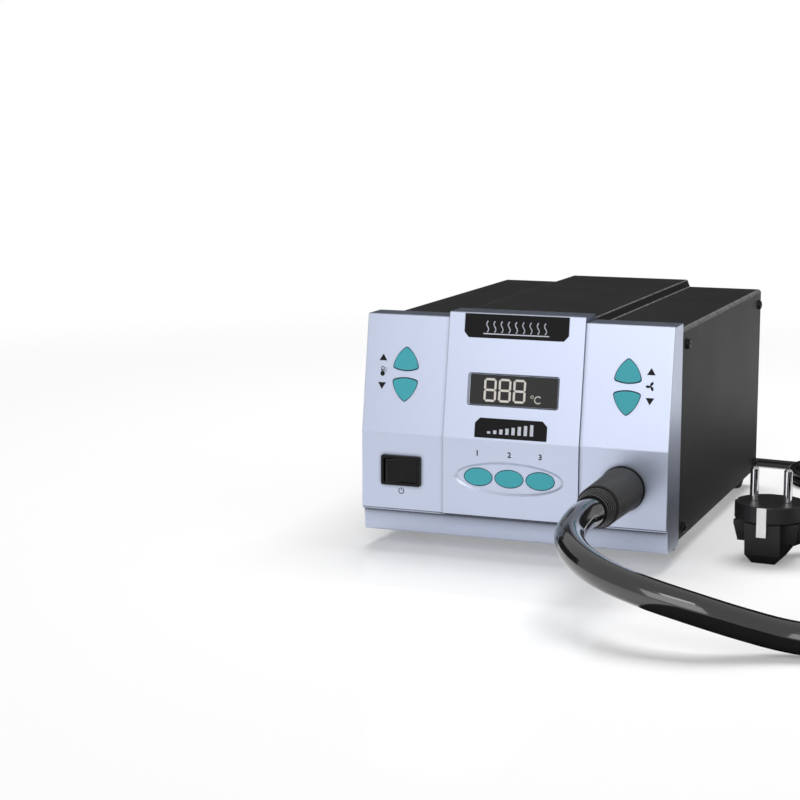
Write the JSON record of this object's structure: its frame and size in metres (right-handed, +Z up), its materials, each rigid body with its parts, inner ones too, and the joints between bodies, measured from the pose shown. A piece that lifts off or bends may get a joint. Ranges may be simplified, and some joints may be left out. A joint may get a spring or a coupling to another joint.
{
  "type": "hot air rework station",
  "caption": "Bench hot air station: steel case, moulded front with buttons, display and switch, blower inside, hose with hand piece, mains cord.",
  "frame": {"origin": "on the table at the centre of the four feet", "axes": "+X right seen from the front, +Y to the rear, +Z up"},
  "size_m": [0.4555, 0.4776, 0.137],
  "materials": {
    "casing_paint": "fine satin powder coat",
    "zinc_sheet": "satin zinc",
    "panel_moulding": "satin silver-blue moulding",
    "black_screw": "black oxide",
    "zinc_screw": "bright zinc",
    "foot_rubber": "matt moulded rubber",
    "button_teal": "satin teal",
    "window_tint": "dark tinted window",
    "display_block": "dark potting",
    "circuit_board": "green solder mask",
    "switch_black": "moulded black",
    "sleeve_rubber": "matt ribbed rubber",
    "brass": "turned brass",
    "duct_silicone": "orange silicone",
    "blower_moulding": "glass-filled moulding",
    "ground_steel": "ground steel",
    "motor_can": "grey can",
    "lamination": "varnished laminations",
    "coil_tape": "yellow tape",
    "heat_sink_alu": "mill finish",
    "package_black": "moulded epoxy",
    "capacitor_sleeve": "dark blue sleeve",
    "terminal_green": "green moulding",
    "fuse_black": "black phenolic",
    "fuse_glass": "glass tube with nickel caps",
    "socket_chrome": "bright nickel",
    "gland_black": "black nylon",
    "cord_black": "smooth black sheath",
    "plug_black": "black moulded plug",
    "clip_steel": "bright spring strip",
    "hose_black": "glossy black hose",
    "grip_black": "black grip moulding",
    "heater_steel": "drawn stainless steel",
    "ceramic": "off-white ceramic"
  },
  "bodies": {
    "root": {"air_duct": "duct_silicone", "air_hose": "hose_black", "blower_bracket": "zinc_sheet", "blower_cover": "blower_moulding", "blower_motor": "motor_can", "blower_volute": "blower_moulding", "board_standoffs": "brass", "cable_gland": "gland_black", "capacitors": "capacitor_sleeve", "channel_board": "circuit_board", "chassis_tray": "zinc_sheet", "control_board": "circuit_board", "cover_screws": "black_screw", "display_module": "display_block", "display_window": "window_tint", "earth_socket": "socket_chrome", "feet": "foot_rubber", "feet_screws": "zinc_screw", "front_frame": "zinc_sheet", "front_panel": "panel_moulding", "fuse_holder": "fuse_black", "grip_lower": "grip_black", "grip_upper": "grip_black", "heat_sink": "heat_sink_alu", "heater_core": "ceramic", "heater_tube": "heater_steel", "hose_boot": "sleeve_rubber", "hose_sleeve": "sleeve_rubber", "hose_spigot": "brass", "main_board": "circuit_board", "mains_cord": "cord_black", "mains_cord_coil": "cord_black", "mains_cord_tail": "cord_black", "nozzle": "heater_steel", "panel_nuts": "zinc_screw", "panel_screws": "zinc_screw", "plug_body": "plug_black", "plug_earth_clips": "clip_steel", "plug_pins": "socket_chrome", "rear_panel": "casing_paint", "switch_body": "switch_black", "tact_switches": "switch_black", "terminal_block": "terminal_green", "top_cover": "casing_paint", "transformer_bracket": "zinc_sheet", "transformer_coil": "coil_tape", "transformer_core": "lamination", "triac": "package_black"},
    "temp_up": {"temp_up_button": "button_teal"},
    "temp_down": {"temp_down_button": "button_teal"},
    "air_up": {"air_up_button": "button_teal"},
    "air_down": {"air_down_button": "button_teal"},
    "channel_1": {"channel_1_button": "button_teal"},
    "channel_2": {"channel_2_button": "button_teal"},
    "channel_3": {"channel_3_button": "button_teal"},
    "rocker": {"power_rocker": "switch_black"},
    "blower_rotor": {"blower_wheel": "blower_moulding", "motor_shaft": "ground_steel"},
    "fuse": {"fuse_link": "fuse_glass"},
    "fuse_knob": {"fuse_cap": "fuse_black"}
  },
  "joints": [
    {"name": "temp_up_press", "type": "slide", "parent": "root", "child": "temp_up", "axis": [0, 0.9874, -0.1582], "range_m": [0, 0.0008], "stiffness_N_per_m": 500, "springref_m": -0.0006},
    {"name": "temp_down_press", "type": "slide", "parent": "root", "child": "temp_down", "axis": [0, 0.9874, -0.1582], "range_m": [0, 0.0008], "stiffness_N_per_m": 500, "springref_m": -0.0006},
    {"name": "air_up_press", "type": "slide", "parent": "root", "child": "air_up", "axis": [0, 0.9874, -0.1582], "range_m": [0, 0.0008], "stiffness_N_per_m": 500, "springref_m": -0.0006},
    {"name": "air_down_press", "type": "slide", "parent": "root", "child": "air_down", "axis": [0, 0.9874, -0.1582], "range_m": [0, 0.0008], "stiffness_N_per_m": 500, "springref_m": -0.0006},
    {"name": "channel_1_press", "type": "slide", "parent": "root", "child": "channel_1", "axis": [0, 1, 0], "range_m": [0, 0.0008], "stiffness_N_per_m": 500, "springref_m": -0.0006},
    {"name": "channel_2_press", "type": "slide", "parent": "root", "child": "channel_2", "axis": [0, 1, 0], "range_m": [0, 0.0008], "stiffness_N_per_m": 500, "springref_m": -0.0006},
    {"name": "channel_3_press", "type": "slide", "parent": "root", "child": "channel_3", "axis": [0, 1, 0], "range_m": [0, 0.0008], "stiffness_N_per_m": 500, "springref_m": -0.0006},
    {"name": "rocker_tilt", "type": "hinge", "parent": "root", "child": "rocker", "pos_m": [-0.0651, -0.1394, 0.04595], "axis": [0, 0, 1], "range_deg": [-22, 0]},
    {"name": "blower_spin", "type": "hinge", "parent": "root", "child": "blower_rotor", "pos_m": [0.0641, 0.0145, 0.07965], "axis": [1, 0, 0], "continuous": true},
    {"name": "fuse_pull", "type": "slide", "parent": "root", "child": "fuse", "axis": [0, 1, 0], "range_m": [0, 0.035]},
    {"name": "fuse_cap_turn", "type": "hinge", "parent": "fuse", "child": "fuse_knob", "pos_m": [-0.068, 0.1125, 0.104], "axis": [0, 1, 0], "range_deg": [0, 90]}
  ]
}
